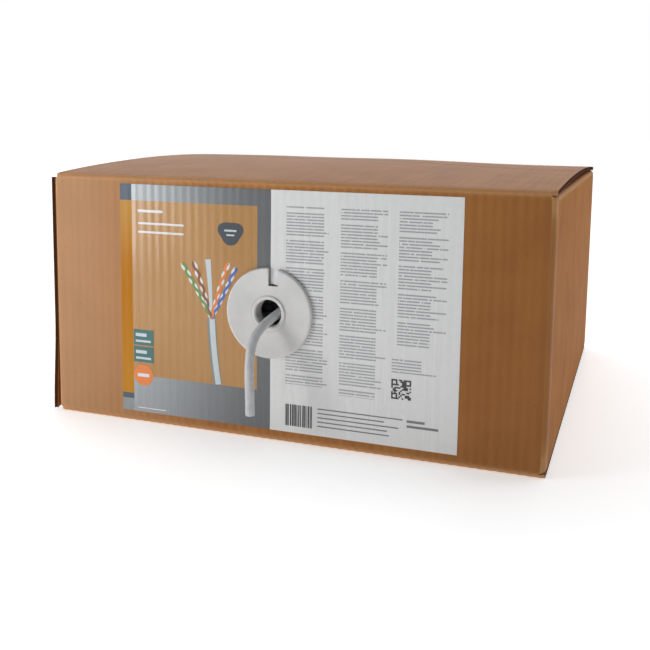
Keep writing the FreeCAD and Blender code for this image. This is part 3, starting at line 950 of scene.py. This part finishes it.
def ribbon(bm, centre, width, colour, level=0, steps_along=16):
    """A printed strip along a line centre(t), t from 0 to 1, that many mm wide."""
    points = []
    for k in range(steps_along + 1):
        t = k / steps_along
        x, z = centre(t)
        ahead = centre(min(t + 0.01, 1.0))
        behind = centre(max(t - 0.01, 0.0))
        direction = Vector((ahead[0] - behind[0], ahead[1] - behind[1])).normalized()
        half = width(t) / 2
        points.append(((x - direction.y * half, z + direction.x * half),
                       (x + direction.y * half, z - direction.x * half)))
    for (a, b), (c, d) in zip(points, points[1:]):
        patch(bm, [a, b, d, c], colour, level)


def curve_between(start, bend, end):
    """A line that leaves start towards bend and arrives at end."""
    def centre(t):
        keep = 1 - t
        return (keep * keep * start[0] + 2 * keep * t * bend[0] + t * t * end[0],
                keep * keep * start[1] + 2 * keep * t * bend[1] + t * t * end[1])
    return centre


def twisted_pair(bm, route, colour, turns):
    """Two printed wires that cross over each other along a route."""
    for wire, phase in ((colour, 0.0), ("white", math.pi)):
        def centre(t, phase=phase):
            x, z = route(t)
            swing = 1.25 * math.sin(2 * math.pi * turns * t + phase) * (0.35 + 0.65 * t)
            return (x + swing, z + 0.25 * swing)
        ribbon(bm, centre, lambda t: 1.9, wire, 1 if phase else 2, 36)


def draw_cable(bm):
    """A cut cable with its four twisted pairs and the spline between them fanned out."""
    root = (-51.3, 82.0)
    jacket_line = curve_between((-46.6, 35.3), (-50.4, 58.0), root)
    ribbon(bm, jacket_line, lambda t: 6.6, "cable_dark")
    ribbon(bm, lambda t: (jacket_line(t)[0] + 0.5, jacket_line(t)[1]), lambda t: 4.2, "cable_light", 1)
    for colour, bend, tip, turns in (("green", (-60.0, 98.0), (-74.2, 119.7), 4.5),
                                     ("brown", (-56.0, 99.0), (-65.3, 121.3), 4.0),
                                     ("orange", (-47.0, 100.0), (-38.2, 122.0), 4.0),
                                     ("blue", (-43.0, 96.0), (-32.6, 119.2), 4.5)):
        twisted_pair(bm, curve_between(root, bend, tip), colour, turns)
    spline_line = curve_between((-51.5, 88.0), (-52.0, 105.0), (-54.0, 123.8))
    ribbon(bm, spline_line, lambda t: 2.2 + 2.0 * t, "pale", 1)


def draw_badge(bm):
    """A plain rounded badge with two short bars."""
    middle = (-36.6, 143.2)
    outline = []
    for k in range(36):
        angle = 2 * math.pi * k / 36
        radius = 8.6 + 1.1 * math.cos(3 * (angle + math.pi / 2))
        outline.append((middle[0] + 1.08 * radius * math.cos(angle),
                        middle[1] + 0.92 * radius * math.sin(angle)))
    patch(bm, outline, "slate", 1)
    bar(bm, middle[0] - 4.6, middle[1] + 0.8, 9.2, 1.3, "pale", 3)
    bar(bm, middle[0] - 3.0, middle[1] - 2.2, 6.0, 1.1, "pale", 3)


def draw_squares(bm):
    for low in (57.6, 45.0):
        bar(bm, -114.2, low, 16.4, 11.4, "teal", 1)
        bar(bm, -112.4, low + 6.4, 9.0, 2.4, "pale", 3)
        bar(bm, -112.4, low + 2.2, 12.4, 1.6, "pale", 3)
    disc = [(-106.4 + 7.9 * math.cos(2 * math.pi * k / 40), 35.4 + 7.9 * math.sin(2 * math.pi * k / 40))
            for k in range(40)]
    patch(bm, disc, "orange", 1)
    bar(bm, -111.2, 34.2, 9.6, 2.4, "white", 3)


def draw_small_print(bm):
    """Title bars, a barcode, a square code and a few lines of small print."""
    for x, z, width, height in ((-109.5, 154.2, 20.0, 1.9), (-109.5, 145.6, 36.6, 1.5),
                                (-109.5, 139.4, 36.6, 1.5), (-111.0, 10.6, 23.0, 0.7)):
        bar(bm, x, z, width, height, "white", 1)
    x = 5.0
    for _ in range(24):
        width = 0.35 + 0.28 * (noise.random() * 2 // 0.7)
        bar(bm, x, 12.6, width, 15.2, "black", 1)
        x += width + 0.32 + 0.28 * (noise.random() * 2 // 0.8)
        if x > 24.5:
            break
    cell = 1.02
    for i in range(13):
        for j in range(13):
            finder = (min(i, 12 - i) < 4 and j > 8) or (i < 4 and j < 4)
            edge = finder and (i % 12 in (0, 3, 9) or j in (0, 3, 9, 12))
            if edge or (not finder and noise.random() > 0.5):
                bar(bm, 79.6 + i * cell, 40.4 + j * cell, cell, cell, "black", 1)
    for line in range(5):
        bar(bm, 28.4, 14.4 + 3.0 * line, 44.0 + 16.0 * noise.random(), 0.75, "grey", 1)
    bar(bm, 90.5, 22.0, 21.0, 1.6, "grey", 1)
    bar(bm, 90.5, 25.4, 12.0, 1.6, "grey", 1)


noise.seed_set(7)
art = bmesh.new()
draw_cable(art)
draw_badge(art)
draw_squares(art)
draw_small_print(art)
add_piece("label_artwork", art, [INKS[name] for name in INK_ORDER], sharp=30.0)

# ---------------- cable spout


def arc_points(centre, radius, start, end, count):
    """Points on an arc of a (radius, height) profile, with its angles in degrees."""
    points = []
    for k in range(count + 1):
        angle = math.radians(start + (end - start) * k / count)
        points.append((centre[0] + radius * math.cos(angle), centre[1] + radius * math.sin(angle)))
    return points


def spout_profile():
    """The spout's section: bore, tube and skirt behind the panel, rim, dished face, ring mark and lip."""
    bore, tube, lip, lip_out = 9.35, 2.0, 3.0, 12.0
    skirt_in, skirt_out, behind, roof = 17.7, 19.7, -7.0, 0.6
    rim, dish_end, dish = 3.0, 13.0, 2.0
    edge = SPOUT_RADIUS / MM
    points = [(bore, behind), (bore + tube, behind), (bore + tube, roof), (skirt_in, roof),
              (skirt_in, behind), (skirt_out, behind), (skirt_out, 0.0), (edge, 0.0)]
    points += arc_points((edge - 1.3, rim - 1.3), 1.3, 0.0, 90.0, 8)
    start = points[-1]
    for k in range(1, 15):
        t = k / 14
        points.append((start[0] + (dish_end - start[0]) * t, start[1] + (dish - start[1]) * (2 * t - t * t)))
    points += [(dish_end - 0.3, dish - 0.2), (lip_out + 0.2, dish - 0.2), (lip_out, dish)]
    points += arc_points((lip_out - 0.6, lip - 0.6), 0.6, 10.0, 90.0, 5)
    points += arc_points((bore + 1.3, lip - 1.3), 1.3, 90.0, 180.0, 8)
    return [(r * MM, h * MM) for r, h in points]


def build_spout():
    centre = Vector((SPOUT_X, SPOUT_BACK, SPOUT_Z))
    bm = bmesh.new()
    revolve(bm, spout_profile(), 192, centre, Vector((0, -1, 0)))
    spout = add_piece("cable_spout_moulding", bm, [WHITE_PLASTIC],
                      replaces=["cable_spout"])
    slot = bmesh.new()
    width, aside, bottom, top, depth = 7.3 * MM, 3.35 * MM, 18.9 * MM, 34 * MM, 40 * MM
    bmesh.ops.create_cube(slot, size=1.0, matrix=Matrix.Translation(
        (SPOUT_X + aside, SPOUT_BACK, SPOUT_Z + (bottom + top) / 2)) @ Matrix.Diagonal(
        (width, depth, top - bottom, 1.0)))
    uprights = [edge for edge in slot.edges
                if abs((edge.verts[0].co - edge.verts[1].co).normalized().y) > 0.9
                and edge.verts[0].co.z < SPOUT_Z + bottom + MM]
    bmesh.ops.bevel(slot, geom=uprights, offset=0.9 * MM, segments=4, affect="EDGES", profile=0.5)
    cut(spout, cutter_from(slot))
    spout.data.shade_smooth()
    spout.data.set_sharp_from_angle(angle=math.radians(32))
    soften = spout.modifiers.new("soften", "BEVEL")
    soften.width = 0.28 * MM
    soften.segments = 2
    soften.limit_method = "ANGLE"
    soften.angle_limit = math.radians(55)
    soften.use_clamp_overlap = True


build_spout()

# ---------------- cable

CABLE_RADIUS = 3.1 * MM
SPOUT_EXIT = (-0.0052, -0.1833, 0.0862)
TAIL_ROUTE = [SPOUT_EXIT, (-0.0086, -0.1955, 0.0818), (-0.0095, -0.2054, 0.0718),
              (-0.0082, -0.2109, 0.0582), (-0.0072, -0.2118, 0.0434), (-0.0073, -0.2109, 0.0281)]
WRAP_RADIUS = 0.1517
WRAP_STEP = 10.0
WRAP_START = -31.0


def around(angle, reach, z):
    return (reach * math.cos(math.radians(angle)), reach * math.sin(math.radians(angle)), z)


LEAD_ROUTE = [around(WRAP_START, WRAP_RADIUS, 0.0980)]
LEAD_ROUTE += [around(WRAP_START - WRAP_STEP * (corner + 0.5),
                      WRAP_RADIUS / math.cos(math.radians(WRAP_STEP / 2)), 0.0980 - 0.0004 * corner)
               for corner in range(4)]
LEAD_ROUTE += [(0.0355, -0.1489, 0.0956), (0.0091, -0.1572, 0.0943), (-0.00095, -0.16805, 0.0917),
               SPOUT_EXIT]


def cable(name, route, replaces):
    data = bpy.data.curves.new(name, "CURVE")
    data.dimensions = "3D"
    data.resolution_u = 16
    data.bevel_depth = CABLE_RADIUS
    data.bevel_resolution = 8
    data.use_fill_caps = True
    spline = data.splines.new("NURBS")
    spline.points.add(len(route) - 1)
    for point, place in zip(spline.points, route):
        point.co = (*place, 1.0)
    spline.order_u = 3
    spline.use_endpoint_u = True
    data.materials.append(JACKET)
    piece = new_object(name, data)
    settle(piece, "carton", replaces)
    return piece


def cut_end():
    """The square cut at the tail's end: the jacket's ring, the spline and four pairs of wires."""
    end = Vector(TAIL_ROUTE[-1])
    along = (end - Vector(TAIL_ROUTE[-2])).normalized()
    turn = along.to_track_quat("Z", "Y").to_matrix()
    bm = bmesh.new()
    ring = [(2.45, -0.2), (3.1, -0.2), (3.1, 0.25), (2.95, 0.4), (2.6, 0.4), (2.45, 0.25)]
    revolve(bm, [(r * MM, h * MM) for r, h in ring], 40, end, along, 0)
    for number in range(8):
        pair, partner = divmod(number, 2)
        angle = math.radians(90 * pair + 45 + (18 if partner else -18))
        place = end + turn @ Vector((1.55 * MM * math.cos(angle), 1.55 * MM * math.sin(angle), -0.1 * MM))
        for radius, height, material in ((0.46, 0.3, 1 + pair if partner else 5), (0.25, 0.42, 6)):
            profile = [(0.01, 0.0), (radius, 0.0), (radius, height), (0.01, height)]
            revolve(bm, [(r * MM, h * MM) for r, h in profile], 12, place, along, material)
    for tilt in (0.0, QUARTER):
        arm = Matrix.Translation(end) @ turn.to_4x4() @ Matrix.Rotation(tilt, 4, "Z") @ Matrix.Diagonal(
            (4.6 * MM, 0.45 * MM, 0.5 * MM, 1.0))
        made = bmesh.ops.create_cube(bm, size=1.0, matrix=arm)
        for face in {face for vertex in made["verts"] for face in vertex.link_faces}:
            face.material_index = 5
    materials = [JACKET, INKS["orange"], INKS["green"], INKS["blue"], INKS["brown"], INKS["white"], COPPER]
    return add_piece("cable_tail_cut", bm, materials)


def copper():
    shader = Shader("copper_wire", Metallic=1.0)
    vector = shader.place()
    grain = shader.noise(vector, 4000.0, 2.0)
    return shader.finish(shader.mix(grain, tone(196, 120, 82), tone(222, 150, 108)), 0.35, grain, 0.01 * MM)


COPPER = copper()
cable("cable_lead_run", LEAD_ROUTE, ["cable_lead"])
tail = cable("cable_tail_cord", TAIL_ROUTE, ["cable_tail"])
tail_cut = cut_end()

# ---------------- winding and reel


def build_winding():
    """The cable on the reel: its outer layer as turns side by side, between the flanges."""
    outer = winding_high.x
    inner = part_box("reel_core")[1].x + 0.1 * MM
    low, high = winding_low.z + 0.15 * MM, winding_high.z - 0.15 * MM
    turns = 23
    pitch = (high - low) / turns
    rows = turns * 7
    segments = 144
    bm = bmesh.new()
    rings = []
    for k in range(segments):
        angle = 2 * math.pi * k / segments
        ring = []
        for j in range(rows + 1):
            z = low + (high - low) * j / rows
            phase = (z - low) / pitch + k / segments
            across = (phase % 1.0) * 2 - 1
            fade = smooth(min(z - low, high - z) / (2 * MM))
            bulge = math.sqrt(max(1 - across * across * 0.98, 0.0))
            dip = CABLE_RADIUS * (1 - bulge) * fade
            ring.append((outer - dip * 0.9 - 0.05 * MM, z))
        ring += [(inner, high), (inner, low)]
        rings.append([bm.verts.new(Vector((r * math.cos(angle), r * math.sin(angle), z))) for r, z in ring])
    join_rings(bm, rings)
    add_piece("cable_turns", bm, [JACKET], body="reel", replaces=["cable_winding"],
              sharp=60.0)


build_winding()

CARRIED_OVER = {"spout_lock_ring": WHITE_PLASTIC, "hub_bottom": HUB_PLASTIC, "hub_top": HUB_PLASTIC,
                "spindle_tube": TUBE, "reel_core": TUBE, "reel_flange_bottom": FLANGE,
                "reel_flange_top": FLANGE, "tie_bolts": STEEL, "tie_nuts": STEEL}
for node, material in CARRIED_OVER.items():
    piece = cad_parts[node]
    for material_slot in piece.material_slots:
        material_slot.material = material

# ---------------- floor and light


def build_floor():
    bm = bmesh.new()
    bmesh.ops.create_grid(bm, x_segments=8, y_segments=8, size=4.0)
    mesh = mesh_from("floor", bm)
    mesh.materials.append(floor_paint())
    floor = new_object("floor", mesh)


def softbox(name, place, target, size, radiance):
    """An area light given by the brightness of its face."""
    data = bpy.data.lights.new(name, "AREA")
    data.shape = "RECTANGLE"
    data.size, data.size_y = size
    data.energy = radiance * math.pi * size[0] * size[1]
    light = new_object(name, data)
    light.location = place
    light.rotation_euler = (Vector(target) - Vector(place)).to_track_quat("-Z", "Y").to_euler()
    light.visible_camera = False


SKY_OVERHEAD = (0.1, 1.9)
SKY_BEHIND = 2.4
SKY_ROUND = 0.02


def light_world():
    """A white studio for the camera; it lights the box softly, more from behind than from the front."""
    world = bpy.data.worlds.new("studio")
    bpy.context.scene.world = world
    world.use_nodes = True
    nodes = Nodes(world.node_tree)
    background = nodes.tree.nodes["Background"]
    seen = nodes.node("Background", {0: (1.0, 1.0, 1.0, 1.0), 1: 1.0})
    x, y, z = nodes.parts(nodes.node("TexCoord").outputs["Generated"])
    height = nodes.math("MAXIMUM", z, 0.0)
    overhead = nodes.product(height, height, nodes.ramp(y, -0.7, 0.6, *SKY_OVERHEAD))
    behind = nodes.math("SUBTRACT", y, x)
    backdrop = nodes.product(nodes.ramp(behind, 0.5, 1.4, 0.0, SKY_BEHIND),
                             nodes.math("SUBTRACT", 1.0, height))
    nodes.feed(background.inputs[0], (0.96, 0.98, 1.0, 1.0))
    nodes.feed(background.inputs[1], nodes.total(overhead, backdrop, SKY_ROUND))
    camera_ray = nodes.node("LightPath").outputs["Is Camera Ray"]
    mixer = nodes.node("MixShader", {0: camera_ray, 1: background.outputs[0], 2: seen.outputs[0]})
    nodes.feed(nodes.tree.nodes["World Output"].inputs[0], mixer.outputs[0])


build_floor()
light_world()
softbox("key_left", (-0.44, -0.57, 0.21), (-0.13, -0.18, 0.10), (0.16, 0.34), 8.0)
softbox("right_back", (0.95, 0.35, 0.45), (0.10, 0.0, 0.08), (0.5, 0.6), 1.6)
bpy.context.scene.view_settings.view_transform = "Standard"
